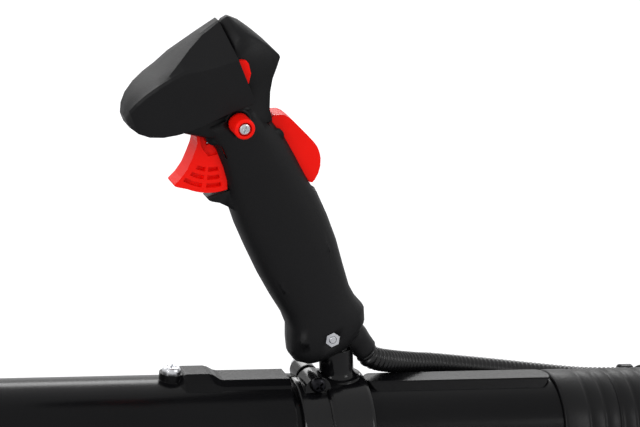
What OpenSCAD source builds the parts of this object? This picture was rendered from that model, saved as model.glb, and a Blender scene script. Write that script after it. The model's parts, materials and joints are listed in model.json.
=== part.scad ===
// Leaf blower pipe with a pistol-grip control handle, a bellows hose and a ribbed conduit.
// Origin: centre of the hose's rear mouth, on the pipe axis. +X towards the blower unit, +Z up.

/* [Pipes] */
// outside diameter of the control pipe
pipe_od = 66; // [50:1:90]
// wall of the control pipe
pipe_wall = 2.5; // [1.5:0.1:4]
// length of the control pipe inside the blower pipe
pipe_nose = 58; // [40:1:90]
// wall of the blower pipe's socket round the control pipe
socket_wall = 3.72; // [3:0.02:6]
// wall of the blower pipe ahead of its socket
blower_wall = 2.2; // [1.5:0.1:4]
// length of the blower pipe without its spigot
blower_len = 280; // [180:1:420]
// length of the blower pipe's spigot
spigot_len = 42; // [30:1:60]
// width of the flat top of the rail on the control pipe
rail_w = 13.6; // [8:0.1:18]
// height of the rail above the control pipe
rail_h = 2.8; // [1.5:0.1:6]
// width across the lug channel's flat top
channel_w = 15; // [12:0.5:20]
// height of the channel's top above the blower pipe
channel_h = 1.5; // [1:0.1:6]
// bayonet lug: side length
lug_w = 9; // [5:0.5:12]

/* [Hose] */
// length of the bellows hose
hose_len = 215; // [160:1:300]
// wall of the hose
hose_wall = 1.9; // [1.2:0.1:3]
// length of the banded front cuff
front_cuff = 68; // [50:1:90]
// length of the plain rear cuff
rear_cuff = 45; // [35:1:70]
// how far the control pipe goes into the hose
hose_grip = 44; // [30:1:60]
// number of deep folds
folds = 8; // [4:1:12]
// outside diameter over the folds
fold_od = 75; // [70:0.5:90]
// diameter in the valleys between the folds
valley_d = 64; // [58:0.5:66]
// width of the hose clamp's band
band_w = 12; // [8:1:16]

/* [Handle] */
// distance from the handle post to the hose
handle_gap = 118.5; // [90:0.5:180]
// backward lean of the grip from upright
lean = 26; // [0:1:35]
// wall of the moulded shells
shell_wall = 2.4; // [1.6:0.1:3.2]
// wall of the head cover
cover_wall = 1.8; // [1.2:0.1:2.4]
// half width of the head behind the cover
head_w = 12.2; // [11.5:0.1:14]
// diameter of the handle post
post_d = 18; // [14:0.5:20]
// width of the bracket's main band
bracket_w = 24; // [20:1:34]
// length of the split collar in front of the band
collar_w = 15; // [9:0.5:17]
// wall of the bracket's main band
bracket_wall = 5.3; // [4:0.1:8]
// wall of the split collar
collar_wall = 3; // [2:0.1:5]

/* [Controls] */
// radius of the trigger's lower edge about its pin
trigger_r = 30.4; // [28:0.1:32.5]
// width of the trigger
trigger_w = 13; // [9:0.5:14]
// width of the palm lever
lever_w = 13; // [9:0.5:14]
// diameter of the lock button
button_d = 10.8; // [8:0.1:13]
// how far the lock button stands out of the shell
button_out = 11.4; // [6:0.1:14]
// travel of the lock button
button_travel = 4; // [2:0.1:4.4]
// travel of the stop switch
switch_travel = 6; // [3:0.5:6]
// diameter of the trigger's and the lever's pin
pin_d = 4; // [3:0.1:5]

/* [Conduit] */
// outside diameter over the conduit's ribs
conduit_od = 12.3; // [10:0.1:14]
// depth of a rib
rib_depth = 0.9; // [0.5:0.1:1.4]
// bore of the conduit
conduit_bore = 8.8; // [6:0.1:10]
// distance from rib to rib
rib_pitch = 2.7; // [2.4:0.1:5]
// diameter of the throttle cable's sheath
sheath_d = 4.6; // [3:0.1:5]
// diameter of a switch lead
lead_d = 1.6; // [1:0.1:2]

/* [Fits] */
// radial gap of a running fit
run_gap = 0.08; // [0.04:0.01:0.1]
// gap between a moving piece and its slot
slot_gap = 0.6; // [0.4:0.1:1]
// gap between seated faces that don't touch
seat_gap = 0.2; // [0.1:0.05:0.3]

/* [Hidden] */
$fn = 64;

black = [0.07, 0.07, 0.08];
grip_black = [0.1, 0.1, 0.11];
red = [0.85, 0.08, 0.05];
zinc = [0.75, 0.76, 0.78];

pipe_r = pipe_od / 2;
pipe_bore = pipe_r - pipe_wall;
hose_x = -hose_len;
handle_x = hose_x - handle_gap;
blower_r = pipe_r + run_gap + socket_wall;
// the blower pipe's socket end, just in front of the bracket
socket_x = handle_x - bracket_w / 2 - collar_w - 3.5;
nose_x = socket_x - pipe_nose;
blower_x = socket_x - blower_len;
socket_depth = pipe_nose + 2;
spigot_r = pipe_r - 0.1;
// bearing stretch of the spigot, and how far the spigot is relieved behind it
spigot_seat = 21;
spigot_relief = 0.3;
lug_x = nose_x + 8;
lug_top = blower_r + channel_h - 1.8;
channel_top = blower_r + channel_h;
// how far the channel's front end stands above the rest, half its width, and the edge of its foot
hump = 3.2;
channel_half = channel_w / 2;
channel_foot = [channel_half + 8.2, blower_r * 0.87];
// stations of the channel, front to rear: place, then [half width, height] of its top, its shoulder, its foot
channel_stations = [
    [lug_x - 10, [channel_half - 2.5, blower_r + 0.3], [channel_half, blower_r - 1.2], channel_foot - [3, 0]],
    [lug_x - 7.4, [channel_half - 1.5, channel_top + hump - 0.9], [channel_half + 3, channel_top - 0.8],
        channel_foot],
    [lug_x - 6, [channel_half - 1, channel_top + hump], [channel_half + 3.6, channel_top - 0.6], channel_foot],
    [lug_x + 6, [channel_half - 1, channel_top + hump], [channel_half + 3.6, channel_top - 0.6], channel_foot],
    [lug_x + 8.4, [channel_half - 1, channel_top + hump * 0.8], [channel_half + 3.7, channel_top - 1],
        channel_foot],
    [lug_x + 12, [channel_half, channel_top + hump * 0.14], [channel_half + 4, channel_top - 2.2],
        channel_foot],
    [lug_x + 14, [channel_half, channel_top], [channel_half + 4, channel_top - 2.5], channel_foot],
    [socket_x, [channel_half, channel_top], [channel_half + 4, channel_top - 2.5], channel_foot]];
pipe_screw_x = nose_x - 4.4;
boss_r = 6.4;
boss_top = blower_r + 3.7;

// hose stations, from the front rim to the rear mouth
fold_x0 = hose_x + front_cuff;
fold_x1 = -rear_cuff;
fold_pitch = (fold_x1 - fold_x0) / folds;
fold_depth = (fold_od - valley_d) / 2;
cuff_r = pipe_r + seat_gap + hose_wall;
// the valley in the middle
mid_x = fold_x0 + floor(folds / 2) * fold_pitch;
clip_w = 7;
clip_front_x = fold_x0 - 6;
clip_rear_x = fold_x1 + 7;
clamp_x = -rear_cuff / 2 + 6;

// The grip's own frame: origin at the foot of its axis, x to the rear, z up along the grip.
grip_foot = [-4, pipe_r + 17];
// stations up the grip: height, front reach, rear reach, half width
grip_stations = [[2.4, -13, 5, 8], [3.8, -18.4, 10.6, 11.5], [7, -22.2, 15.6, 14],
    [12, -23.5, 20.4, 15.2], [19, -21.6, 22.6, 15.6], [26, -18.9, 20.3, 15.3],
    [34, -18.9, 19.4, 15], [47, -21.1, 20.6, 15.2], [61, -22.8, 22.1, 15.6],
    [76, -23.7, 22.4, 15.8], [90, -24.1, 21.8, 15.6], [100, -23.6, 20.1, 15.3],
    [113, -22.2, 18.8, 15], [125, -20.9, 17.3, 14.8], [136, -20.8, 14.2, 14.6],
    [144, -23.4, 12.7, 14.4], [150, -28, 12.8, 13.8]];
grip_power = 2.5;
// stations of the head, front to rear: reach, bottom, half width, shoulder height, crown height
head_stations = [[-40, 159, 10, 173, 174.5], [-31, 151.5, head_w, 177, 179], [-21, 144, head_w, 179, 182],
    [2, 139, head_w, 178.6, 191.2], [7.4, 138, head_w, 182.4, 195], [9, 138, head_w, 185.6, 196],
    [12.4, 138, head_w, 187.4, 196.4], [13.2, 144, head_w, 187.6, 195.8], [17, 153, head_w, 186.2, 191.8],
    [20.7, 159, head_w, 183, 185.7], [24.7, 163.3, head_w - 0.2, 177, 178],
    [28.2, 167.6, head_w - 1, 169.6, 169.9]];
// number of the station at the head's peak
peak = 6;
// stations of the cover, front to rear: reach, bottom, half width, ridge, half top width, crown
cover_stations = [[-56, 166.2, 6.5, 171.6, 3, 172], [-53.4, 162, 9.5, 175, 5, 175.5],
    [-49.2, 158.8, 12.2, 178.2, 7, 178.8], [-43, 156.4, 14.4, 181, 10, 181.6],
    [-36, 155, 15.9, 183, 12, 183.7], [-28.5, 154.2, 16.9, 184.4, 14, 185.7],
    [-20.6, 154.1, 17.3, 185, 12, 189.2], [-13, 154.3, 17.4, 182.9, 8.5, 192],
    [-4, 154.1, 17.3, 181, 5.5, 194.9], [7, 153.3, 17, 179.8, 4.2, 197.2]];

trigger_at = [-18.5, 143];
trigger_half = trigger_w / 2;
// gap between the trigger's lower edge and the finger rest
rest_gap = 1.2;
lever_at = [12, 129];
button_at = [-4.6, 146.2];
// outer face of the near shell at the button
button_face = 14.6;
bolt_at = [-1.4, 14];
nipple_at = trigger_at + [13.5, 0];
arm_y = 3.2;
anchor_at = [9, 62];
adjuster_len = 14;
wire_d = 1.5;
// the post's tenon inside the grip: its diameter, place of its axis, and its top
tenon_d = post_d - 2.4;
post_axis = 0.5;
post_top = 21;
// the post's neck, from the band up to the bend: [distance behind the post, height]
neck_foot = [-1.2, pipe_r - 3];
neck_bend = grip_foot + [post_axis * cos(lean) - sin(lean), post_axis * sin(lean) + cos(lean)];
neck_lean = atan2(neck_foot.x - neck_bend.x, neck_bend.y - neck_foot.y);
mitre = post_d / 2 * tan((lean - neck_lean) / 2);
neck_len = norm(neck_bend - neck_foot) + mitre;
// the collar's bolt lies outside the pipe, and its ears stand this far to the near and the far side
collar_bolt = [-bracket_w / 2 - collar_w / 2 + 2.1, pipe_r + 4.4];
ear_near = 15;
ear_far = 14.4;
ear_r = 7;
switch_at = [1.5, 170.5];
// screws that hold the shells: place on the grip and depth of the near boss
shell_bosses = [[-12.5, 51, 12.4], [-13.5, 90, 12.6], [-33, 168, 10.5], [19, 166, 10.8]];
cover_bosses = [[-12, 166], [-32, 170]];

// The conduit's route, from inside the boot to the rear mouth, chosen by hand.
// The boot is at [distance behind the post, sideways, height].
boot_at = [6.4, 0, pipe_r + 23.4];
boot_drop = 47;
boot_len = 8.5;
// how far the boot reaches into the grip
boot_back = 6.5;
boot_way = [cos(boot_drop), 0, -sin(boot_drop)];
// the conduit starts this far along the boot, and runs straight for this length
conduit_in = 5.6;
conduit_straight = 7.4;
// beside the folds and beside the cuffs the conduit keeps clear of both, at [sideways, height]
fold_side = (fold_od / 2 + conduit_od / 2 + 0.65) * [cos(19), sin(19)];
cuff_side = (max(fold_od / 2 - 0.42, cuff_r + 1.98) + conduit_od / 2) * [cos(22.3), sin(22.3)];
mid_side = 0.55 * cuff_side + 0.45 * fold_side;
// from the boot to the cuff, shares of the way along the pipe
cuff_start = fold_x0 - 18.5 - handle_x;
function share(f) = 37 + f * (cuff_start - 37);
function beside(x, side) = [x - handle_x, side.x, side.y];
// over the pipe: distance behind the post, gap between the pipe and the conduit, and the place round the pipe
function over(x, gap, angle) = let (r = pipe_r + conduit_od / 2 + gap) [x, r * cos(angle), r * sin(angle)];
route_front = [over(20.6, 5.5, 88), over(26.5, 3.7, 83.6), over(37, 1.6, 74), over(share(0.08), 0.8, 65.8),
    over(share(0.16), 1, 58), over(share(0.29), 1.4, 48.6), over(share(0.4656), 2.2, 39),
    over(share(0.6718), 3.3, 30), over(share(0.8626), 3.8, 24.2), beside(fold_x0 - 18.5, cuff_side),
    beside(fold_x0 - 0.5, cuff_side), beside(fold_x0 + 15.5, mid_side), beside(mid_x - 15.5, fold_side),
    beside(mid_x - seat_gap, fold_side)];
route_rear = [beside(mid_x + seat_gap, fold_side), beside(mid_x + 15.5, fold_side),
    beside(fold_x1 - 18.5, mid_side), beside(fold_x1 - 2.5, cuff_side), beside(fold_x1 + 23.5, cuff_side),
    beside(5.5, cuff_side)];
conduit_back = 5.5 - handle_x;
// the cable from the conduit's start up to the adjuster, and the leads up to the switch, on the grip
cable_route = [[12.3, 1.5, 6.4], [13, 1.5, 14], [13.2, 1.5, 26], [12.2, 1.8, 36], [11.2, 2.9, 47],
    [10.33, 3.2, 54.3]];
lead_route = [[12.1, -2, 7], [13, -2.6, 14], [13, -3.6, 26], [12, -4.3, 40], [11.2, -4.3, 54],
    [10.9, -4.3, 64], [8.6, -4.3, 76], [5.6, -4.3, 90], [3.8, -4.3, 106], [3.2, -4.3, 122], [4.4, -4.3, 138],
    [5.2, -4.3, 148], [4, -4.3, 157.2]];

// ---------- helpers ----------

// from the grip's own frame to the part's frame
module on_grip() translate([handle_x + grip_foot.x, 0, grip_foot.y]) rotate([0, -lean, 0]) children();

// a point of the grip's own frame in the part's frame
function grip_point(p) = [handle_x + grip_foot.x + p.x * cos(lean) - p.z * sin(lean), p.y,
    grip_foot.y + p.x * sin(lean) + p.z * cos(lean)];

// a cylinder along Y between two sideways places, at a place [x, z]
module across(at, d, y0, y1) translate([at.x, y0, at.y]) rotate([-90, 0, 0]) cylinder(d = d, h = y1 - y0);

// a plate in the XZ plane between two sideways places
module plate(points, y0, y1) translate([0, y1, 0]) rotate([90, 0, 0]) linear_extrude(y1 - y0) polygon(points);

// a ring of a revolved profile about the X axis: profile points are [x, radius]
module along_x(profile) rotate([0, 90, 0]) rotate_extrude($fn = 128) polygon([for (p = profile) [p.y, p.x]]);

function arc(c, r, a0, a1, n) = [for (i = [0:n]) let (a = a0 + (a1 - a0) * i / n) c + r * [cos(a), sin(a)]];

// a closed skin over rings of equally many points
module skin(rings) {
    n = len(rings[0]);
    last = len(rings) - 1;
    polyhedron(points = [for (r = rings) each r],
        faces = concat([[for (j = [0:n - 1]) j]],
            [for (i = [0:last - 1], j = [0:n - 1]) let (k = (j + 1) % n) each
                [[i * n + j, (i + 1) * n + j, (i + 1) * n + k], [i * n + j, (i + 1) * n + k, i * n + k]]],
            [[for (j = [n - 1:-1:0]) last * n + j]]), convexity = 6);
}

function bulge(v, power) = sign(v) * pow(abs(v), 2 / power);

// one half of a rounded section of the grip, from its front to its rear, inset by t
function grip_ring(s, t, over) = let (c = (s[1] + s[2]) / 2, a = (s[2] - s[1]) / 2 - t, w = s[3] - t)
    concat([for (i = [0:12]) let (q = 180 - i * 15)
            [c + a * bulge(cos(q), grip_power), -w * bulge(sin(q), grip_power), s[0]]],
        over > 0 ? [[c + a, over, s[0]], [c - a, over, s[0]]] : []);

// one half of a section of the head, inset by t
function head_ring(s, t, over) = let (w = s[2] - t, b = s[1] + t, e = s[3] - t, c = min(1.6, (e - b) / 3))
    [[s[0], over, s[4] - t], [s[0], -2, s[4] - t], [s[0], -w + c, e], [s[0], -w, e - c], [s[0], -w, b + c],
        [s[0], -w + c, b], [s[0], over, b]];

// a whole section of the cover, inset by t and drawn down by d
function cover_ring(s, t, d) = let (w = s[2] - t, e = s[3] - t * 0.9, m = s[4] - t * 0.4, c = s[5] - t,
    b = s[1] - d)
    [[s[0], -w, b], [s[0], w, b], [s[0], w, e - 1.4], [s[0], w - 0.9, e], [s[0], m, c - 0.5],
        [s[0], m * 0.5, c], [s[0], -m * 0.5, c], [s[0], -m, c - 0.5], [s[0], -w + 0.9, e], [s[0], -w, e - 1.4]];

// a section of the lug's channel
function channel_ring(q) = let (x = q[0], top = q[1], side = q[2], foot = q[3])
    [[x, -foot.x, foot.y], [x, foot.x, foot.y], [x, side.x, side.y], [x, top.x, top.y], [x, -top.x, top.y],
        [x, -side.x, side.y]];

function unit(v) = v / norm(v);

// a smooth curve through the points: Catmull-Rom, k steps to each span
function smooth(p, k) = concat([for (i = [0:len(p) - 2], j = [0:k - 1])
    let (a = p[max(i - 1, 0)], b = p[i], c = p[i + 1], d = p[min(i + 2, len(p) - 1)], t = j / k)
    0.5 * (2 * b + (c - a) * t + (2 * a - 5 * b + 4 * c - d) * t * t + (3 * b - 3 * c + d - a) * t * t * t)],
    [p[len(p) - 1]]);

// length along a line of points up to each of them
function run(p, i = 0, sum = 0) = i >= len(p) ? [] :
    concat([sum], run(p, i + 1, i + 1 < len(p) ? sum + norm(p[i + 1] - p[i]) : sum));

// the point at a length s along a line of points with run lengths l
function along(p, l, s) = let (i = max(0, min(len(p) - 2, len([for (v = l) if (v <= s) 1]) - 1)))
    p[i] + (p[i + 1] - p[i]) * (s - l[i]) / (l[i + 1] - l[i]);

// a ring of n points round a place p, square to the direction t, moved sideways and up by off
function hoop(p, t, r, n, off = [0, 0]) = let (u = unit(cross([0, 0, 1], t)), v = cross(t, u))
    [for (i = [0:n - 1]) let (a = 360 * i / n) p + (off.x + r * cos(a)) * u + (off.y + r * sin(a)) * v];

// directions along a line of points
function headings(p) = [for (i = [0:len(p) - 1]) unit(p[min(i + 1, len(p) - 1)] - p[max(i - 1, 0)])];

// a plain cord of n sides along the points, moved sideways and up by offs
module cord(p, r, n, offs) {
    t = headings(p);
    skin([for (i = [0:len(p) - 1]) hoop(p[i], t[i], r, n, offs[i])]);
}

// a tube with ribs outside and a plain bore, as one closed skin
module ribbed(line, r, depth, bore, pitch) {
    l = run(line);
    total = l[len(l) - 1];
    ribs = floor((total - 2 * conduit_od) / pitch);
    pad = (total - ribs * pitch) / 2;
    // plain ends in steps, then a valley and a crest in turn
    s = concat([for (i = [0:3]) pad * i / 4], [for (i = [0:2 * ribs]) pad + i * pitch / 2],
        [for (i = [3:-1:0]) total - pad * i / 4]);
    n = len(s);
    p = [for (v = s) along(line, l, v)];
    t = headings(p);
    outer = [for (i = [0:n - 1]) hoop(p[i], t[i], (i > 4 && i < n - 5 && i % 2 == 1) ? r : r - depth, 8)];
    inner = [for (i = [n - 1:-1:0]) if (i < 5 || i > n - 6 || i % 3 == 0) hoop(p[i], t[i], bore, 8)];
    rings = concat(outer, inner);
    m = len(rings);
    polyhedron(points = [for (q = rings) each q], faces = [for (i = [0:m - 1], j = [0:7])
        let (k = (j + 1) % 8, a = i * 8, b = ((i + 1) % m) * 8)
            each [[a + j, b + j, b + k], [a + j, b + k, a + k]]], convexity = 10);
}

// a pan head screw or bolt along -Z from its head's underside at z = 0
module pan_screw(d, length, head_d, head_h, cross_w = 1) {
    difference() {
        rotate_extrude() polygon(concat([[0, -length], [d / 2 - 0.4, -length], [d / 2, -length + 0.6],
            [d / 2, 0], [head_d / 2, 0], [head_d / 2, head_h * 0.35]],
            arc([head_d / 2 - head_h * 0.65, head_h * 0.35], head_h * 0.65, 0, 90, 4), [[0, head_h]]));
        for (a = [45, 135]) rotate(a) translate([-head_d * 0.28, -cross_w / 2, head_h * 0.45])
            cube([head_d * 0.56, cross_w, head_h]);
    }
}

// ---------- pipes ----------

module control_pipe() color(black) {
    rear = hose_x + hose_grip;
    // rail from the bracket to the hose: sloping near side, and round ends in plan
    rail_from = handle_x + bracket_w / 2 + seat_gap;
    rail_to = hose_x - 2;
    top = pipe_r + rail_h;
    near = -rail_w / 2 - 1.6;
    far = rail_w / 2 - 1.6;
    end_r = (far - near + rail_h) / 2 + 0.3;
    end_y = (far + near - rail_h) / 2;
    along_x([[nose_x, pipe_bore], [nose_x, pipe_r - 1], [nose_x + 1, pipe_r], [rear - 1, pipe_r],
        [rear, pipe_r - 1], [rear, pipe_bore]]);
    intersection() {
        translate([rail_from, 0, 0]) rotate([90, 0, 90]) linear_extrude(rail_to - rail_from) polygon([
            [near - rail_h, pipe_bore * 0.94], [near - rail_h, pipe_r * 0.945], [near, top - 0.5],
            [near + 0.5, top], [far - 0.5, top], [far, top - 0.5], [far, pipe_bore * 0.985],
            [far - 4, pipe_bore + 1], [0, pipe_bore + 1]]);
        union() {
            for (x = [rail_from + end_r, rail_to - end_r])
                translate([x, end_y, 0]) cylinder(r = end_r, h = top + 5);
            translate([rail_from + end_r, end_y - end_r + 0.1, 0])
                cube([rail_to - rail_from - 2 * end_r, 2 * end_r - 0.2, top + 5]);
        }
        along_x([[rail_from - 1, pipe_bore + 1], [rail_from - 1, top + 9], [rail_to + 1, top + 9],
            [rail_to + 1, pipe_bore + 1]]);
    }
    // bayonet lug
    translate([lug_x - lug_w / 2, -lug_w / 2, pipe_bore + 1]) cube([lug_w, lug_w, lug_top - pipe_bore - 1]);
}

module blower_pipe() color(black) {
    bore = blower_r - blower_wall;
    socket_bore = pipe_r + run_gap;
    front = blower_x;
    tip = blower_x - spigot_len;
    difference() {
        union() {
            along_x([[tip, spigot_r - blower_wall], [tip, spigot_r - 0.8], [tip + 1.5, spigot_r],
                [tip + 1.5 + spigot_seat, spigot_r], [tip + 2.5 + spigot_seat, spigot_r - spigot_relief],
                [front, spigot_r - spigot_relief], [front + 1, spigot_r + 1.2], [front + 14, blower_r - 1],
                [front + 18, blower_r], [socket_x - 1.2, blower_r], [socket_x, blower_r - 0.8],
                [socket_x, socket_bore], [socket_x - socket_depth, socket_bore],
                [socket_x - socket_depth - 4, bore], [front + 15, bore], [front - 2, spigot_r - blower_wall]]);
            // raised channel for the lug, with a hump at its closed front end
            intersection() {
                skin([for (q = channel_stations) channel_ring(q)]);
                along_x([[tip, blower_r - 1], [tip, blower_r + 20], [socket_x, blower_r + 20],
                    [socket_x, blower_r - 1]]);
            }
            // boss for the pipe screw
            translate([pipe_screw_x, 0, bore + 1]) cylinder(r = boss_r, h = boss_top - bore - 1);
            // lug of the spigot
            translate([front - 16, -lug_w / 2, spigot_r - blower_wall + 1])
                cube([lug_w, lug_w, blower_wall - 1 + 3.2]);
        }
        // the channel's inside, open at the socket's mouth
        translate([lug_x - lug_w / 2 - 2, -lug_w / 2 - slot_gap, 0])
            cube([socket_x - lug_x + lug_w, lug_w + 2 * slot_gap, lug_top + seat_gap]);
        // pilot of the pipe screw
        translate([pipe_screw_x, 0, boss_top - 14 - seat_gap]) cylinder(d = 5 + 2 * run_gap, h = 20);
    }
}

module pipe_screw() color(zinc) translate([pipe_screw_x, 0, boss_top]) rotate(20)
    pan_screw(5, 7, 9.8, 3.3, 1.1);

// ---------- hose ----------

// the outside of the hose from front to rear: [x, radius]
function hose_outside() = let (r = cuff_r, b = front_cuff / 68) concat(
    [[hose_x, r - 1], [hose_x + 0.8, r - 0.1], [hose_x + 2, r]],
    // front cuff: wide and narrow bands with grooves between them
    [for (g = [[15, 1], [24, 1], [33, 2], [42, 1], [51, 2], [60, 1]]) each
        [[hose_x + (g.x - 2) * b, r], [hose_x + (g.x - 0.8) * b, r - 0.6 * g.y],
            [hose_x + (g.x + 0.8) * b, r - 0.6 * g.y], [hose_x + (g.x + 2) * b, r]]],
    // deep folds
    [[fold_x0 - 1.5, r]],
    [for (i = [0:folds - 1], q = [0:7]) let (a = q * 45)
        [fold_x0 + (i + q / 8) * fold_pitch, fold_od / 2 - fold_depth / 2 - fold_depth / 2 * cos(a)]],
    [[fold_x1, fold_od / 2 - fold_depth], [fold_x1 + 1.5, r - 0.4], [fold_x1 + 3, r]],
    // beads on both sides of the clamp
    [for (q = [[-2.6, 0], [-1.8, 1], [-0.6, 1], [-0.3, 0], [0.3, 0], [0.6, 1], [1.8, 1], [2.6, 0]])
        [clamp_x + sign(q.x) * band_w / 2 + q.x, r + q.y]],
    [[-1.2, r], [0, r - 0.8]]);

module bellows_hose() color(black) {
    cuff_bore = pipe_r + seat_gap;
    fold_bore = fold_od / 2 - hose_wall;
    along_x(concat(hose_outside(),
        [[0, pipe_r + run_gap], [-rear_cuff + 4, pipe_r + run_gap], [fold_x1, fold_bore - fold_depth]],
        [for (i = [folds - 1:-1:0], q = [7:-1:0]) let (a = q * 45)
            [fold_x0 + (i + q / 8) * fold_pitch, fold_bore - fold_depth / 2 - fold_depth / 2 * cos(a)]],
        [[hose_x + hose_grip + 6, pipe_bore], [hose_x + hose_grip + 0.6, pipe_bore + 0.6],
            [hose_x + hose_grip + 0.6, cuff_bore], [hose_x, cuff_bore]]));
}

module hose_clamp_band() color(zinc) {
    r = cuff_r + seat_gap / 2;
    difference() {
        union() {
            along_x([[clamp_x - band_w / 2, r], [clamp_x - band_w / 2, r + 0.8],
                [clamp_x + band_w / 2, r + 0.8], [clamp_x + band_w / 2, r]]);
            // housing of the worm screw, underneath
            translate([clamp_x - band_w / 2 + 0.4, -9, -r - 9.5]) cube([band_w - 0.8, 18, 9.2]);
        }
        along_x([[clamp_x - 20, 0], [clamp_x - 20, r], [clamp_x + 20, r], [clamp_x + 20, 0]]);
        across([clamp_x, -r - 5.2], 6.4 + 2 * run_gap, -20, 20);
    }
}

module hose_clamp_screw() color(zinc) {
    r = cuff_r + seat_gap / 2;
    difference() {
        union() {
            across([clamp_x, -r - 5.2], 6.4, -10, 13);
            translate([clamp_x, -10, -r - 5.2]) rotate([90, 0, 0]) cylinder(d = 8.5, h = 4.5, $fn = 6);
        }
        translate([clamp_x - 5, -16, -r - 5.7]) cube([10, 3, 1]);
    }
}

// a strap of width w round the hose at x, with radius r, and an eye for the conduit at a place [y, z]
module clip(x, w, r, at) color(black) {
    eye = conduit_od / 2 + 0.3;
    difference() {
        union() {
            along_x([[x - w / 2, r], [x - w / 2, r + 1.1], [x + w / 2, r + 1.1], [x + w / 2, r]]);
            translate([x - w / 2 + 0.3, at.x, at.y]) rotate([0, 90, 0]) cylinder(r = eye + 1.2, h = w - 0.6);
            rotate([atan2(at.y, at.x), 0, 0]) translate([x - w / 2 + 0.6, r + 0.6, -3])
                cube([w - 1.2, norm(at) - r - 0.6 - eye * 0.6, 6]);
        }
        along_x([[x - w, 0], [x - w, r], [x + w, r], [x + w, 0]]);
        translate([x - w, at.x, at.y]) rotate([0, 90, 0]) cylinder(r = eye, h = w * 2);
    }
}

module clip_front() clip(clip_front_x, clip_w, cuff_r + seat_gap, cuff_side);
// the middle clip lies in a valley, as wide and as deep as its walls leave it
module clip_middle() clip(mid_x, fold_pitch * 0.26, valley_d / 2 + fold_depth * 0.18, fold_side);
module clip_rear() clip(clip_rear_x, clip_w, cuff_r + seat_gap, cuff_side);

// ---------- bracket ----------

// the post's neck with a radius, a flare at its foot, and its end raised by a gap
module neck(r, flare, gap = 0) translate([handle_x + neck_foot.x, 0, neck_foot.y]) rotate([0, -neck_lean, 0])
    rotate_extrude() polygon(concat([[0, -4], [r + flare, -4]],
        flare > 0 ? arc([r + flare, 7 + flare], flare, 265, 180, 6) : [],
        [[r, neck_len + gap], [0, neck_len + gap]]));

// the neck, which runs past the bend by the mitre, and the tenon that leans with the grip
module post() {
    neck(post_d / 2, 4);
    on_grip() translate([post_axis, 0, -1 - mitre]) cylinder(d = tenon_d, h = post_top + mitre - 0.5);
    on_grip() translate([post_axis, 0, post_top - 1.5]) cylinder(d1 = tenon_d, d2 = tenon_d - 3, h = 1.5);
}

module pipe_bracket() color(black) {
    r = pipe_r + run_gap;
    x0 = handle_x - bracket_w / 2;
    x1 = handle_x + bracket_w / 2;
    difference() {
        union() {
            along_x([[x0 - collar_w, r - 1], [x0 - collar_w, r + collar_wall - 0.6],
                [x0 - collar_w + 0.8, r + collar_wall], [x0, r + collar_wall], [x0, r + bracket_wall - 1.6],
                [x0 + 0.8, r + bracket_wall - 0.5], [x0 + 2.4, r + bracket_wall],
                [x1 - 2.4, r + bracket_wall], [x1 - 0.8, r + bracket_wall - 0.5],
                [x1, r + bracket_wall - 1.6], [x1, r - 1]]);
            // near ear and far ear of the split collar
            across([handle_x + collar_bolt.x + 0.6, collar_bolt.y - 3], 2 * ear_r, -ear_near, 0.7);
            across([handle_x + collar_bolt.x, collar_bolt.y - 1.8], 12.4, 2.9, ear_far);
            post();
        }
        along_x([[x0 - 60, 0], [x0 - 60, r], [x1 + 60, r], [x1 + 60, 0]]);
        // the collar's split and its bolt hole
        translate([x0 - collar_w - 1, 1, 0]) cube([collar_w + 0.5, 1.6, collar_bolt.y + 8]);
        across([handle_x + collar_bolt.x, collar_bolt.y], 5 + 2 * run_gap, -20, 20);
        // the grip bolt's hole
        on_grip() across(bolt_at, 4 + 2 * run_gap, -20, 20);
        // nothing of the neck passes the rail's start
        translate([x1 + seat_gap / 2, -40, 0]) cube([40, 80, 40]);
    }
}

module bracket_bolt() color(black) translate([handle_x + collar_bolt.x, -ear_near, collar_bolt.y])
    rotate([90, 0, 0]) pan_screw(5, ear_near + ear_far + 5.5, 8.4, 3.6, 1.1);

module bracket_nut() color(zinc) translate([handle_x + collar_bolt.x, ear_far, collar_bolt.y])
    rotate([-90, 0, 0]) difference() {
        cylinder(d = 9.2, h = 4, $fn = 6);
        translate([0, 0, -1]) cylinder(d = 5 + 2 * run_gap, h = 6);
    }

// ---------- grip shells ----------

module half_outer() {
    skin([for (s = grip_stations) grip_ring(s, 0, 0)]);
    skin([for (s = head_stations) head_ring(s, 0, 0)]);
}

module half_inner() {
    n = len(grip_stations);
    skin([for (i = [1:n - 1]) let (s = grip_stations[i])
        grip_ring([i == 1 ? grip_stations[0][0] + shell_wall : s[0], s[1], s[2], s[3]], shell_wall, 2)]);
    // behind the peak the wall is kept along the reach too
    skin([for (i = [0:len(head_stations) - 2]) let (s = head_stations[i], end = i == 0 ? 0.6 : 0)
        head_ring([s[0] + (i == 0 ? shell_wall : i >= peak ? -shell_wall + 0.2 : 0), s[1], s[2], s[3] - end,
            s[4] - end], shell_wall, 2)]);
    // the way from the grip up into the head
    translate([-17, -11, 130]) cube([27, 13, 26]);
}

// the finger rest below the trigger
module finger_rest() {
    r = trigger_r + rest_gap;
    plate(concat([[-18, 97.6], [-22.6, 100.6], [-25, 104], [-28, 107.6], [-31.4, 110], [-33.4, 112.4]],
        arc(trigger_at, r, 242.6, 268, 8), [[-16, 105]]), -6, 0);
}

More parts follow.
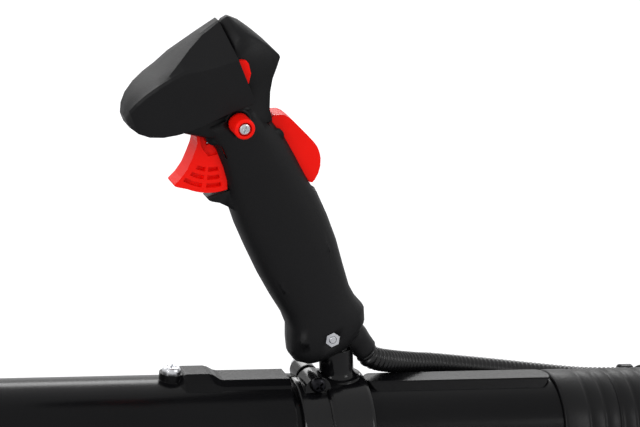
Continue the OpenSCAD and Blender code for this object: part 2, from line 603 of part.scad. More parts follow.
// one shell's half; trigger and lever pin seats end at the slots
module shell_half() {
    difference() {
        union() {
            difference() {
                union() {
                    half_outer();
                    finger_rest();
                }
                half_inner();
            }
            // a collar round the tenon's foot, a rib round its top, and a boss for its bolt
            translate([post_axis, 0, 4.6]) rotate(180) rotate_extrude(angle = 180)
                square([tenon_d / 2 + 1.5, 3.6]);
            translate([-17, -13.5, post_top - 4]) cube([27.8, 13.5, 3]);
            across(bolt_at, 12, -13.5, -3);
            // seats of the trigger's and the lever's pin
            across(trigger_at, pin_d + 4, -10, -trigger_half - slot_gap);
            across(lever_at, pin_d + 3.4, -9.8, -lever_w / 2 - slot_gap);
            // seat of the cable adjuster
            translate([anchor_at.x - 6, -13, anchor_at.y - 3]) cube([12, 13, 6]);
        }
        // post, trigger slot, lever slot
        translate([post_axis, 0, -5]) cylinder(d = tenon_d + 2 * run_gap, h = post_top + 5 + seat_gap);
        off_grip() neck(post_d / 2 + 0.3, 0, seat_gap);
        translate([-60, -trigger_half - slot_gap, trigger_at.y - trigger_r - rest_gap])
            cube([46, trigger_w, trigger_r + rest_gap + 7.3]);
        translate([lever_at.x - 3, -lever_w / 2 - slot_gap, lever_at.y - 38.5]) cube([33, lever_w, 49]);
        across(trigger_at, pin_d + 2 * run_gap, -9, 5);
        across(lever_at, pin_d + 2 * run_gap, -9.2, 5);
        // the boot's mouth
        off_grip() boot_body(seat_gap);
    }
}

// from the part's frame to the grip's own frame
module off_grip() rotate([0, lean, 0]) translate([-handle_x - grip_foot.x, 0, -grip_foot.y]) children();

module grip_shell_near() color(grip_black) on_grip() difference() {
    union() {
        shell_half();
        for (b = shell_bosses) across([b.x, b.y], 6.6, -b.z, 0);
        // guide of the lock button, with the spring's seat
        across(button_at, button_d + 4, -button_face + 1, -5.2);
    }
    for (b = shell_bosses) across([b.x, b.y], 3 + 2 * run_gap, -b.z + 1.6, 1);
    across(button_at, button_d + 2 * run_gap, -button_face - 9, -6.8);
    across(button_at, 4.6 + 2 * run_gap, -10, 0);
    // nut pocket and bolt hole
    across(bolt_at, 4 + 2 * run_gap, -20, 5);
    translate([bolt_at.x, -12.2, bolt_at.y]) rotate([90, 0, 0]) cylinder(d = 8.4, h = 10, $fn = 6);
    // slot for the stop switch's stem
    translate([switch_at.x - 2.4, -20, switch_at.y - switch_travel - 3.4])
        cube([4.8, 16, switch_travel + 6.8]);
    // way of the leads past the adjuster
    translate([8, -6.8, anchor_at.y - 4]) cube([9, 5, 8]);
}

module grip_shell_far() color(grip_black) on_grip() difference() {
    union() {
        mirror([0, 1, 0]) shell_half();
        for (b = shell_bosses) across([b.x, b.y], 7.6, 0, b.z);
    }
    for (b = shell_bosses) {
        across([b.x, b.y], 3.4, -1, 30);
        across([b.x, b.y], 6.2, b.z - 3.4, 30);
    }
    across(bolt_at, 4 + 2 * run_gap, -1, 20);
    across(bolt_at, 8.4, 12.4, 22);
    for (b = cover_bosses) across(b, 2.6 + 2 * run_gap, 8, 14);
    // seat of the adjuster
    translate([anchor_at.x, arm_y, anchor_at.y]) rotate([0, wire_tilt, 0]) translate([0, 0, -20])
        cylinder(d = 6 + 2 * run_gap, h = 40);
}

// the wire's lean from the grip's axis
wire_tilt = atan2(nipple_at.x - anchor_at.x, nipple_at.y - anchor_at.y);

module shell_screws() color(zinc) on_grip() for (b = shell_bosses)
    translate([b.x, b.z - 3.4, b.y]) rotate([-90, 0, 0]) pan_screw(3, b.z - 3.4 + b.z - 2.4, 5.8, 2.2, 0.7);

module grip_bolt() color(zinc) on_grip() translate([bolt_at.x, 12.4, bolt_at.y]) rotate([-90, 0, 0])
    pan_screw(4, 12.4 + 15.6, 7.6, 2.6, 0.9);

module grip_nut() color(zinc) on_grip() translate([bolt_at.x, -12.2, bolt_at.y]) rotate([90, 0, 0])
    difference() {
        cylinder(d = 8.08, h = 3, $fn = 6);
        translate([0, 0, -1]) cylinder(d = 4 + 2 * run_gap, h = 5);
    }

module head_cover() color(grip_black) on_grip() difference() {
    union() {
        difference() {
            skin([for (s = cover_stations) cover_ring(s, 0, 0)]);
            skin([for (i = [0:len(cover_stations) - 1]) let (s = cover_stations[i],
                x = i == 0 ? s[0] + cover_wall : i == len(cover_stations) - 1 ? s[0] + 1 : s[0],
                end = i == 0 ? 0.4 : 0)
                cover_ring([x, s[1], s[2], s[3] - end, s[4], s[5] - end], cover_wall, 9)]);
        }
        // spacers that stand on the far shell
        for (b = cover_bosses) across(b, 8.6, head_w + seat_gap / 2, 16.2);
    }
    for (b = cover_bosses) {
        across(b, 3.2, 5, 30);
        across(b, 6, 15, 30);
    }
}

module cover_screws() color(zinc) on_grip() for (b = cover_bosses)
    translate([b.x, 15, b.y]) rotate([-90, 0, 0]) pan_screw(2.6, 5, 5.6, 2, 0.7);

// ---------- controls ----------

module trigger() color(red) on_grip() difference() {
    front = [[-26.2, 146.2], [-27, 142.8], [-28.6, 140.5], [-32, 136.8], [-36.5, 132.4], [-41.3, 129.3],
        [-45.7, 127.5], [-46.2, 127], [-46.1, 126.5], [-44.8, 125.3]];
    union() {
        plate(concat(front, arc(trigger_at, trigger_r, 223, 264, 8),
            [[-17.5, 124], [-13.8, 138], [-14.5, 147], [-20, 149]]), -trigger_half, trigger_half);
        // arm that pulls the wire
        plate([[-20, 138.4], nipple_at + [-1, -4.6], nipple_at + [3.4, -3.8], nipple_at + [4.6, 0],
            nipple_at + [3.4, 3.8], nipple_at + [-1, 4.6], [-17, 147.4]], arm_y - 2.2, arm_y + 2.2);
    }
    across(trigger_at, pin_d + 2 * run_gap, -20, 20);
    // room for the spring
    across(trigger_at, pin_d + 4.6, -20, -3.2);
    translate([trigger_at.x, -20, trigger_at.y - 8]) cube([9, 16.8, 16]);
    translate([trigger_at.x - 4.4, -20, trigger_at.y - 4]) cube([4.4, 16.8, 1.8]);
    // seat of the nipple and the way of the wire
    across(nipple_at, 5, arm_y - 5, arm_y + 5);
    translate([nipple_at.x - 1.9, arm_y - 1.1, nipple_at.y - 10]) cube([3.8, 2.2, 10]);
    // recesses of both sides: a panel at the top and three rows of two slots
    for (s = [0, 1]) mirror([0, s, 0]) {
        plate([[-25.8, 139.3], [-24.2, 133.6], [-12, 131], [-12, 148.5], [-24, 148.5]],
            trigger_half - 1.6, trigger_half + 1);
        for (i = [0:2], q = [[215 + i * 3.5, 237], [242, 259]]) let (r = trigger_r - 3.8 - i * 4.3, t = 1.1)
            plate(concat(arc(trigger_at, r - t, q.x, q.y, 4), arc(trigger_at, r + t, q.y, q.x, 4)),
                trigger_half - 2.6, trigger_half + 1);
    }
}

module trigger_pin() color(zinc) on_grip() across(trigger_at, pin_d, -8.8, 8.8);
module lever_pin() color(zinc) on_grip() across(lever_at, pin_d, -9, 9);

// closed turns of a torsion spring round a pin
module turns(at, y0, y1) difference() {
    across(at, pin_d + 3.4, y0, y1);
    across(at, pin_d + 1, y0 - 1, y1 + 1);
}

module trigger_spring() color(zinc) on_grip() {
    turns(trigger_at, -6.2, -3.6);
    translate([trigger_at.x, -5.7, trigger_at.y + 3.1]) rotate([0, 90, 0]) cylinder(d = 1, h = 6.2);
    translate([trigger_at.x - 3.8, -4.1, trigger_at.y - 3.1]) rotate([0, 90, 0]) cylinder(d = 1, h = 3.8);
}

module palm_lever() color(red) on_grip() difference() {
    union() {
        plate([[15, 138.8], [19.6, 136.9], [21.5, 134.8], [23.2, 131.6], [24.9, 127.3], [27.2, 121.5],
            [29.2, 116], [29.9, 113.2], [30, 110.8], [29.8, 108.4], [29.3, 106.2], [27.7, 102.4], [25.2, 99.1],
            [22.4, 96.8], [20.7, 96], [19.3, 96.8], [17.8, 104], [15.2, 116], [12, 123.4], [12, 137.4]],
            -lever_w / 2, lever_w / 2);
        across(lever_at, 10.6, -lever_w / 2, lever_w / 2);
    }
    across(lever_at, pin_d + 2 * run_gap, -20, 20);
    // room for the spring
    across(lever_at, pin_d + 4.6, 3.1, 20);
    translate([lever_at.x - 7, 3.1, lever_at.y - 1]) cube([7, 10, 10]);
    translate([lever_at.x, 3.1, lever_at.y - 4.6]) cube([6, 10, 2.6]);
}

module lever_spring() color(zinc) on_grip() {
    turns(lever_at, 3.5, 6.1);
    translate([lever_at.x - 3.1, 5.6, lever_at.y]) cylinder(d = 1, h = 8);
    translate([lever_at.x, 4, lever_at.y - 3.1]) rotate([0, 90, 0]) cylinder(d = 1, h = 5.4);
}

module lock_button() color(red) on_grip() difference() {
    translate([button_at.x, -14, button_at.y]) rotate([90, 0, 0]) rotate_extrude() polygon(concat(
        [[0, 0], [button_d / 2, 0]], arc([button_d / 2 - 1.2, button_face + button_out - 15.2], 1.2, 0, 90, 4),
        [[0, button_face + button_out - 14]]));
    across(button_at, 7.2, -button_face - button_out - 1, -button_face - button_out + 2.2);
    across(button_at, 3 + 2 * run_gap, -40, 0);
}

module button_stem() color(zinc) on_grip() difference() {
    union() {
        across(button_at, 4.6, -14, -3.4);
        across(button_at, 7.4, -4.8, -3.4);
    }
    across(button_at, 3 + 2 * run_gap, -20, -4.4);
}

module button_screw() color(zinc) on_grip()
    translate([button_at.x, -button_face - button_out + 2.2, button_at.y]) rotate([90, 0, 0])
        pan_screw(3, button_face + button_out - 2.2 - 6, 6.4, 2.2, 0.8);

module button_spring() color(zinc) on_grip() difference() {
    across(button_at, 8.6, -13.9, -6.9);
    across(button_at, 6.6, -20, 0);
}

module stop_slider() color(red) on_grip() {
    y = head_w + seat_gap;
    plate([[8.4, 176.8], [10.8, 175.4], [11.4, 173.4], [10.6, 168], [7.6, 163.6], [-3, 163.6], [-3, 176.8]],
        -y - 2.2, -y);
    translate([switch_at.x - 1.8, -y - 0.5, switch_at.y - 3]) cube([3.6, y - 6, 6]);
}

module switch_module() color(black) on_grip() difference() {
    translate([switch_at.x - 6, -9.4, switch_at.y - 13]) cube([12, 8.4, 16.4]);
    translate([switch_at.x - 2.4, -20, switch_at.y - switch_travel - 3.4])
        cube([4.8, 15.4, switch_travel + 6.8]);
}

// ---------- throttle wire, cables, conduit ----------

module throttle_wire() color(zinc) on_grip() {
    across(nipple_at, 4.4, arm_y - 2.2, arm_y + 2.2);
    translate([nipple_at.x, arm_y, nipple_at.y]) rotate([0, wire_tilt + 180, 0])
        cylinder(d = wire_d, h = norm(nipple_at - anchor_at) + 2);
}

module cable_adjuster() color(zinc) on_grip() translate([anchor_at.x, arm_y, anchor_at.y])
    rotate([0, wire_tilt, 0]) difference() {
        union() {
            translate([0, 0, -adjuster_len / 2 + 2]) cylinder(d = 6, h = adjuster_len);
            for (z = [-7.4, 4.4]) translate([0, 0, z]) cylinder(d = 9, h = 3, $fn = 6);
        }
        translate([0, 0, -20]) cylinder(d = wire_d + 0.4, h = 40);
    }

function on_pipe(p) = [handle_x + p.x, p.y, p.z];
conduit_start = [for (i = [0:3]) on_pipe(boot_at + (conduit_in + conduit_straight * i / 3) * boot_way)];
front_line = concat([for (i = [0:2]) conduit_start[i]],
    [for (q = [smooth(concat([conduit_start[2], conduit_start[3]], [for (p = route_front) on_pipe(p)]), 5)],
        i = [5:len(q) - 1]) q[i]]);
rear_line = smooth([for (p = route_rear) on_pipe(p)], 6);

module conduit(line) color(black) ribbed(line, conduit_od / 2, rib_depth, conduit_bore / 2, rib_pitch);
module conduit_front() conduit(front_line);
module conduit_rear() conduit(rear_line);

// the outside of the boot, grown by a gap
module boot_body(gap) translate(on_pipe(boot_at)) rotate([0, 90 + boot_drop, 0]) rotate_extrude() polygon([
    [0, -boot_back - gap], [8.2 + gap, -boot_back - gap], [8.2 + gap, -2], [7.4 + gap, 4],
    [7.1 + gap, boot_len], [0, boot_len]]);

module conduit_boot() color(black) difference() {
    boot_body(0);
    translate(on_pipe(boot_at)) rotate([0, 90 + boot_drop, 0]) {
        translate([0, 0, conduit_in - seat_gap])
            cylinder(d = conduit_od - 2 * rib_depth + 2 * seat_gap, h = 30);
        translate([0, 0, -20]) cylinder(d = conduit_bore + 1.6, h = 30);
    }
    on_grip() translate([post_axis, 0, -10]) cylinder(d = post_d + 2 * seat_gap, h = 60);
    neck(post_d / 2 + seat_gap, 0);
}

// every second point of a line, and its last
function thin(p) = concat([for (i = [0:2:len(p) - 2]) p[i]], [p[len(p) - 1]]);
function reversed(p) = [for (i = [len(p) - 1:-1:0]) p[i]];
// places in the conduit's bore, sideways and up: the cable and two leads
cable_off = [1.3, -0.3];
lead_offs = [[-1.9, 1.15], [-2.1, -0.95]];
front_cable = concat(reversed([for (p = cable_route) grip_point(p)]), thin(front_line));
front_leads = concat(reversed([for (p = lead_route) grip_point(p)]), thin(front_line));
rear_run = concat([for (p = thin(rear_line)) p + [0.2, 0, 0]],
    [on_pipe([conduit_back + 9, cuff_side.x, cuff_side.y])]);

module throttle_cable_front() color(black) cord(front_cable, sheath_d / 2, 8,
    [for (i = [0:len(front_cable) - 1]) i < len(cable_route) ? [0, 0] : cable_off]);

module throttle_cable_rear() color(black) {
    cord(rear_run, sheath_d / 2, 8, [for (p = rear_run) cable_off]);
    ferrule_at = on_pipe([conduit_back + 8, cuff_side.x + cable_off.x, cuff_side.y + cable_off.y]);
    translate(ferrule_at) rotate([0, 90, 0]) {
        cylinder(d = sheath_d + 0.3, h = 5);
        cylinder(d = wire_d, h = 19);
        translate([0, 0, 16]) cylinder(d = 4.4, h = 4.4);
    }
}

module switch_leads_front() color(black) for (o = lead_offs) cord(front_leads, lead_d / 2, 6,
    [for (i = [0:len(front_leads) - 1]) i < len(lead_route) ? [0, 1.1 * sign(o.y)] : o]);

module switch_leads_rear() color(black) for (o = lead_offs) {
    cord(rear_run, lead_d / 2, 6, [for (p = rear_run) o]);
    translate(on_pipe([conduit_back + 8, cuff_side.x + o.x, cuff_side.y + o.y])) rotate([0, 90, 0])
        cylinder(d = 1.9, h = 9);
}

control_pipe();
blower_pipe();
pipe_screw();
bellows_hose();
hose_clamp_band();
hose_clamp_screw();
pipe_bracket();
bracket_bolt();
bracket_nut();
grip_shell_near();
grip_shell_far();
shell_screws();
grip_bolt();
grip_nut();
head_cover();
cover_screws();
trigger();
trigger_pin();
trigger_spring();
palm_lever();
lever_pin();
lever_spring();
lock_button();
button_stem();
button_screw();
button_spring();
stop_slider();
switch_module();
throttle_wire();
cable_adjuster();
throttle_cable_front();
throttle_cable_rear();
switch_leads_front();
switch_leads_rear();
conduit_boot();
conduit_front();
conduit_rear();
clip_front();
clip_middle();
clip_rear();
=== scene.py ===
import json
import math

import bmesh
import bpy
import numpy as np
from mathutils import Matrix, Vector


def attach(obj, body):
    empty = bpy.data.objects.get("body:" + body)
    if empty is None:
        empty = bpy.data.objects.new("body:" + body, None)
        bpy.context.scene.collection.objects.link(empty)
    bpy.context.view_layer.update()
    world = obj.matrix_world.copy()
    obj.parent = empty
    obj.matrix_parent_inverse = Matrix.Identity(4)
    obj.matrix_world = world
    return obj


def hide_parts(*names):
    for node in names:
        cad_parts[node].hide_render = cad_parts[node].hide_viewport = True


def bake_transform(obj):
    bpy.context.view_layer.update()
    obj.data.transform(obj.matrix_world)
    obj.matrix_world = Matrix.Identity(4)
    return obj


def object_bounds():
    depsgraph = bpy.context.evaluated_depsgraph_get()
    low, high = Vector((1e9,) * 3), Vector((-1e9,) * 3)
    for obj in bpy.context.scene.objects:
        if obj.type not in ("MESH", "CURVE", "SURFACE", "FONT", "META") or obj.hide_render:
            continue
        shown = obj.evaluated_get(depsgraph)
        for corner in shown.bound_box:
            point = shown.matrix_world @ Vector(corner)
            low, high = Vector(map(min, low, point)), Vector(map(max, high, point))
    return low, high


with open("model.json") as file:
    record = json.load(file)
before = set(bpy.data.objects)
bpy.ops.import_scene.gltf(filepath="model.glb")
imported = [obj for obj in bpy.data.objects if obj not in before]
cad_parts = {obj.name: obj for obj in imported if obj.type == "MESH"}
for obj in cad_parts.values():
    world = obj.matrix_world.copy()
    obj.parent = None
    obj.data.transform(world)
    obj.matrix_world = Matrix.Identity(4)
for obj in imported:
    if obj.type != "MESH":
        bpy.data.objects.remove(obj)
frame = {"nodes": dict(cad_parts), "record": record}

cad_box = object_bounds()
MM = 0.001

# ---------------------------------------------------------------- camera

CAMERA_AT = (-0.96238, -1.76949, 0.69851)
AZIMUTH, ELEVATION, ROLL = (math.radians(v) for v in (-19.0, 17.0, 5.2487))
LENS, SENSOR_WIDTH = 212.264, 36
CLIP_START, CLIP_END = 0.05, 50


def make_camera():
    """A camera turned by the azimuth, tilted down by the elevation and then rolled."""
    back = Vector((math.sin(AZIMUTH) * math.cos(ELEVATION),
                   -math.cos(AZIMUTH) * math.cos(ELEVATION), math.sin(ELEVATION)))
    level = Vector((math.cos(AZIMUTH), math.sin(AZIMUTH), 0))
    up = back.cross(level)
    right = math.cos(ROLL) * level + math.sin(ROLL) * up
    upright = -math.sin(ROLL) * level + math.cos(ROLL) * up
    data = bpy.data.cameras.new("camera")
    data.lens, data.sensor_width = LENS, SENSOR_WIDTH
    data.clip_start, data.clip_end = CLIP_START, CLIP_END
    camera = bpy.data.objects.new("camera", data)
    bpy.context.scene.collection.objects.link(camera)
    turn = Matrix((right, upright, back)).transposed().to_4x4()
    camera.matrix_world = Matrix.Translation(CAMERA_AT) @ turn
    bpy.context.scene.camera = camera


make_camera()

# ---------------------------------------------------------------- measures of the part, in mm

# Places along X: the handle, the hose's front rim, and its folds, which are split in two at their middle.
HANDLE_X = -333.5
HOSE_X, FOLD_X0, FOLD_X1 = -215.0, -147.0, -45.0
MID_X = (FOLD_X0 + FOLD_X1) / 2

# The hose: its folds, its wall, its cuffs' radius, and how far it goes over the pipe.
FOLDS, FOLD_OD, FOLD_DEPTH = 8, 75.0, 5.5
HOSE_WALL, CUFF_R, HOSE_GRIP = 1.9, 35.1, 44.0
PIPE_R, PIPE_BORE = 33.0, 30.5

# The rear cuff's bore, with its running gap, and the hose clamp's place and width.
REAR_BORE, REAR_GAP = 41.0, 0.08
CLAMP_X, BAND_W = -16.5, 12.0

# The grip's lean, and its foot behind the handle's place and above the pipe's axis.
LEAN = math.radians(26)
GRIP_FOOT = (-4, PIPE_R + 17)

# The conduit's ribs and bore, and its rear end's place behind the handle.
CONDUIT_R, RIB_DEPTH, CONDUIT_BORE, RIB_PITCH = 6.15, 0.9, 4.4, 2.7
CONDUIT_BACK = 339.0

# The post, and the boot that leaves it downwards, with the conduit's straight end in it.
POST_AXIS, POST_R = 0.5, 9.0
BOOT_AT, BOOT_DROP = (6.4, 0.0, PIPE_R + 23.4), math.radians(47)
BOOT_LEN, BOOT_BACK, BOOT_BORE = 8.5, 6.5, 5.2
CONDUIT_IN, CONDUIT_STRAIGHT = 5.6, 7.4

# The conduit's place beside the cuffs, the folds, and halfway between them, as [y, z].
CUFF_SIDE = (39.997, 16.404)
FOLD_SIDE = (41.887, 14.423)
MID_SIDE = (40.848, 15.513)

# The cords' radii, their places in the conduit, and half the distance of the leads in the grip.
SHEATH_R, LEAD_R = 2.3, 0.8
CABLE_OFF = (1.3, -0.3)
LEAD_OFFS = [(-1.9, 1.15), (-2.1, -0.95)]
LEAD_APART = 1.1
# The rear cords' start behind the hose's middle, and how far they stand out of the conduit.
CORD_GAP, CORD_OUT = 0.2, 9.0


def over(x, gap, degrees):
    """A point of the conduit over the pipe: place behind the post, gap to the pipe, and place round it."""
    r = PIPE_R + CONDUIT_R + gap
    return (x, r * math.cos(math.radians(degrees)), r * math.sin(math.radians(degrees)))


# The routes, as listed points: the conduit's from the handle's place on the pipe's
# axis, and the cable's and the leads' in the grip's own frame.
ROUTE_FRONT = [over(20.6, 5.5, 88), over(26.5, 3.7, 83.6), over(37, 1.6, 74), over(47.48, 0.8, 65.8),
               over(57.96, 1, 58), over(74.99, 1.4, 48.6), over(97.99, 2.2, 39), over(125, 3.3, 30),
               over(150, 3.8, 24.2), (168, *CUFF_SIDE), (186, *CUFF_SIDE), (202, *MID_SIDE),
               (222, *FOLD_SIDE), (237.5, *FOLD_SIDE)]
ROUTE_REAR = [(237.5, *FOLD_SIDE), (253, *FOLD_SIDE), (270, *MID_SIDE), (286, *CUFF_SIDE),
              (312, *CUFF_SIDE), (CONDUIT_BACK, *CUFF_SIDE)]
CABLE_ROUTE = [(12.3, 1.5, 6.4), (13, 1.5, 14), (13.2, 1.5, 26), (12.2, 1.8, 36), (11.2, 2.9, 47),
               (10.33, 3.2, 54.3)]
LEAD_ROUTE = [(12.1, -2, 7), (13, -2.6, 14), (13, -3.6, 26), (12, -4.3, 40), (11.2, -4.3, 54),
              (10.9, -4.3, 64), (8.6, -4.3, 76), (5.6, -4.3, 90), (3.8, -4.3, 106), (3.2, -4.3, 122),
              (4.4, -4.3, 138), (5.2, -4.3, 148), (4, -4.3, 157.2)]


def grip_point(p):
    """A point [behind, sideways, up] of the grip's own leaning frame, in the part's frame, in mm."""
    r, y, h = p
    return Vector((HANDLE_X + GRIP_FOOT[0] + r * math.cos(LEAN) - h * math.sin(LEAN), y,
                   GRIP_FOOT[1] + r * math.sin(LEAN) + h * math.cos(LEAN)))


def on_pipe(p):
    """A point that is given from the handle's place on the pipe's axis, in the part's frame, in mm."""
    return Vector((HANDLE_X + p[0], p[1], p[2]))


# ---------------------------------------------------------------- materials

# Most of a noise lies between these values.
NOISE_LOW, NOISE_HIGH = 0.3, 0.7
BEVEL_SAMPLES = 6
# The specks in a moulded plastic's colour are finer than its grain by this.
SPECK_SCALE = 2.7
# Plated steel: the scale of its patches and scratches, the scratches' stretch and depth, its edges'
# rounding, and how far its roughness goes below and above the usual.
PLATING, SCRATCH, STRETCH, SCRATCH_DEPTH = 120.0, 2700.0, 0.12, 0.00002
STEEL_BEVEL, STEEL_SMOOTHER, STEEL_ROUGHER = 0.0002, 0.08, 0.12


class Nodes:
    """Short calls for a material's nodes."""

    def __init__(self, name):
        self.material = bpy.data.materials.new(name)
        self.material.use_nodes = True
        self.tree = self.material.node_tree
        self.shader = self.tree.nodes["Principled BSDF"]
        self.coords = self.tree.nodes.new("ShaderNodeTexCoord").outputs["Object"]

    def node(self, kind, inputs, **settings):
        n = self.tree.nodes.new(kind)
        for k, v in settings.items():
            setattr(n, k, v)
        for k, v in inputs.items():
            self.set(n.inputs[k], v)
        return n

    def set(self, socket, value):
        if isinstance(value, bpy.types.NodeSocket):
            self.tree.links.new(value, socket)
        else:
            socket.default_value = value

    def noise(self, scale, detail, rough=0.5, coords=None):
        return self.node("ShaderNodeTexNoise", {"Vector": coords or self.coords, "Scale": scale,
                                                "Detail": detail, "Roughness": rough}).outputs["Fac"]

    def spread(self, value, to_low=0.0, to_high=1.0):
        """A noise's usual range, spread over the range from to_low to to_high."""
        return self.node("ShaderNodeMapRange", {"Value": value, "From Min": NOISE_LOW, "From Max": NOISE_HIGH,
                                                "To Min": to_low, "To Max": to_high}).outputs["Result"]

    def math(self, kind, a, b):
        return self.node("ShaderNodeMath", {0: a, 1: b}, operation=kind).outputs[0]

    def share(self, a, b, part):
        """The given part of a, and the rest from b."""
        return self.math("ADD", self.math("MULTIPLY", a, part), self.math("MULTIPLY", b, 1 - part))

    def mix(self, fac, a, b):
        n = self.node("ShaderNodeMix", {}, data_type="RGBA")
        self.set(n.inputs["Factor"], fac)
        self.set(n.inputs["A"], a)
        self.set(n.inputs["B"], b)
        return n.outputs["Result"]

    def relief(self, height, depth, bevel):
        """A bump of the given depth over faces whose edges are rounded to the bevel's radius."""
        edge = self.node("ShaderNodeBevel", {"Radius": bevel}, samples=BEVEL_SAMPLES).outputs["Normal"]
        inputs = {"Height": height, "Distance": depth, "Strength": 1.0, "Normal": edge}
        return self.node("ShaderNodeBump", inputs).outputs["Normal"]

    def finish(self, **sockets):
        for k, v in sockets.items():
            self.set(self.shader.inputs[k.replace("_", " ")], v)
        return self.material


def rgb(r, g, b):
    return (r, g, b, 1.0)


def black(level, blue):
    """A black that is a little blue."""
    return rgb(level, level, blue)


def moulded(name, dark, light, rough, grain, depth, specular, bevel, patch, spread=0.06):
    """Moulded plastic: fine grain, faint cloudy patches, and a roughness that varies by the spread."""
    n = Nodes(name)
    cloud = n.noise(patch, detail=3.0)
    fine = n.noise(grain, detail=2.0, rough=0.6)
    speck = n.noise(grain * SPECK_SCALE, detail=1.0)
    tone = n.spread(n.share(cloud, speck, 0.7))
    roughness = n.spread(n.share(cloud, fine, 0.5), rough - spread, rough + spread)
    return n.finish(Base_Color=n.mix(tone, dark, light), Roughness=roughness,
                    Normal=n.relief(fine, depth, bevel), Specular_IOR_Level=specular)


def metal(name, dark, light, rough):
    """Plated steel: cloudy plating, fine scratches and duller spots."""
    n = Nodes(name)
    cloud = n.noise(PLATING, detail=4.0, rough=0.6)
    drawn = n.node("ShaderNodeMapping", {"Vector": n.coords, "Scale": (1.0, 1.0, STRETCH)}).outputs["Vector"]
    scratch = n.noise(SCRATCH, detail=2.0, rough=0.7, coords=drawn)
    roughness = n.spread(n.share(cloud, scratch, 0.6), rough - STEEL_SMOOTHER, rough + STEEL_ROUGHER)
    return n.finish(Base_Color=n.mix(n.spread(cloud), dark, light), Metallic=1.0, Roughness=roughness,
                    Normal=n.relief(scratch, SCRATCH_DEPTH, STEEL_BEVEL))


MATERIALS = {
    # Semi-gloss air pipes, with broad patches.
    "pipe_black": moulded("pipe_black", black(0.0028, 0.0033), black(0.0046, 0.0052), rough=0.20, grain=900,
                          depth=0.00002, specular=0.12, bevel=0.0006, patch=9.0),
    # Satin rubber of the bellows hose.
    "hose_black": moulded("hose_black", black(0.0035, 0.0040), black(0.0065, 0.0070), rough=0.36, grain=700,
                          depth=0.00004, specular=0.16, bevel=0.0004, patch=14.0),
    # The bracket has the smoothest plastic.
    "bracket_black": moulded("bracket_black", black(0.0025, 0.0030), black(0.0040, 0.0045), rough=0.14,
                             grain=500, depth=0.00001, specular=0.30, bevel=0.0008, patch=20.0, spread=0.04),
    # Fine-grained matte shells of the grip.
    "grip_black": moulded("grip_black", black(0.0036, 0.0041), black(0.0060, 0.0067), rough=0.48, grain=1500,
                          depth=0.00008, specular=0.20, bevel=0.0006, patch=16.0),
    # The controls: trigger, lever, button and slider.
    "control_red": moulded("control_red", rgb(0.93, 0.0060, 0.0025), rgb(1.0, 0.0100, 0.0045), rough=0.32,
                           grain=800, depth=0.00001, specular=0.10, bevel=0.0005, patch=30.0),
    "conduit_black": moulded("conduit_black", black(0.0030, 0.0035), black(0.0060, 0.0066), rough=0.26,
                             grain=1200, depth=0.00001, specular=0.40, bevel=0.0001, patch=25.0),
    # Smooth sheaths of cable and leads, and the boot.
    "cable_black": moulded("cable_black", black(0.0030, 0.0035), black(0.0070, 0.0076), rough=0.42, grain=900,
                           depth=0.00002, specular=0.20, bevel=0.0002, patch=25.0),
    "zinc": metal("zinc", rgb(0.62, 0.63, 0.66), rgb(0.80, 0.81, 0.83), rough=0.26),
    "black_steel": metal("black_steel", black(0.010, 0.012), black(0.022, 0.025), rough=0.28),
    "spring_steel": metal("spring_steel", rgb(0.45, 0.45, 0.47), rgb(0.62, 0.62, 0.64), rough=0.24),
}

slot_of = {p["node"]: p["material_slot"] for p in frame["record"]["subparts"]}
for node, obj in frame["nodes"].items():
    material = MATERIALS[slot_of[node]]
    if obj.data.materials:
        for i in range(len(obj.data.materials)):
            obj.data.materials[i] = material
    else:
        obj.data.materials.append(material)

# ---------------------------------------------------------------- pieces in mesh code


def piece(name, points, faces, slot):
    """A smooth mesh object in the part's frame from points in mm."""
    mesh = bpy.data.meshes.new(name)
    mesh.from_pydata([Vector(p) * MM for p in points], [], faces)
    mesh.validate()
    mesh.shade_smooth()
    obj = bpy.data.objects.new(name, mesh)
    bpy.context.scene.collection.objects.link(obj)
    mesh.materials.append(MATERIALS[slot])
    return obj


def ring_faces(rings, sides, closed_ends=False, loop=False):
    """Quads between rings of points, and caps or a closing band."""
    last = rings if loop else rings - 1
    faces = []
    for i in range(last):
        a, b = i * sides, ((i + 1) % rings) * sides
        faces += [(a + j, a + (j + 1) % sides, b + (j + 1) % sides, b + j) for j in range(sides)]
    if closed_ends:
        faces.append(tuple(reversed(range(sides))))
        faces.append(tuple((rings - 1) * sides + j for j in range(sides)))
    return faces


def revolved(name, profile, slot, sides):
    """A closed profile of [x, radius] turned round the pipe's axis."""
    points = []
    for x, r in profile:
        points += [(x, r * math.cos(math.tau * j / sides), r * math.sin(math.tau * j / sides))
                   for j in range(sides)]
    faces = ring_faces(len(profile), sides, loop=True)
    return piece(name, points, [tuple(reversed(f)) for f in faces], slot)


def turned(name, at, profile, slot, sides):
    """A solid that is turned about a line along X: its profile of [distance, radius] ends on that line."""
    axis, u, v = Vector((1, 0, 0)), Vector((0, 0, 1)), Vector((0, -1, 0))
    inner = profile[1:-1]
    points = []
    for s, r in inner:
        for j in range(sides):
            a = math.tau * j / sides
            points.append(at + axis * s + r * math.cos(a) * u + r * math.sin(a) * v)
    faces = ring_faces(len(inner), sides)
    points += [at + axis * profile[0][0], at + axis * profile[-1][0]]
    first, last, ring = len(points) - 2, len(points) - 1, (len(inner) - 1) * sides
    faces += [(first, (j + 1) % sides, j) for j in range(sides)]
    faces += [(last, ring + j, ring + (j + 1) % sides) for j in range(sides)]
    return piece(name, points, faces, slot)


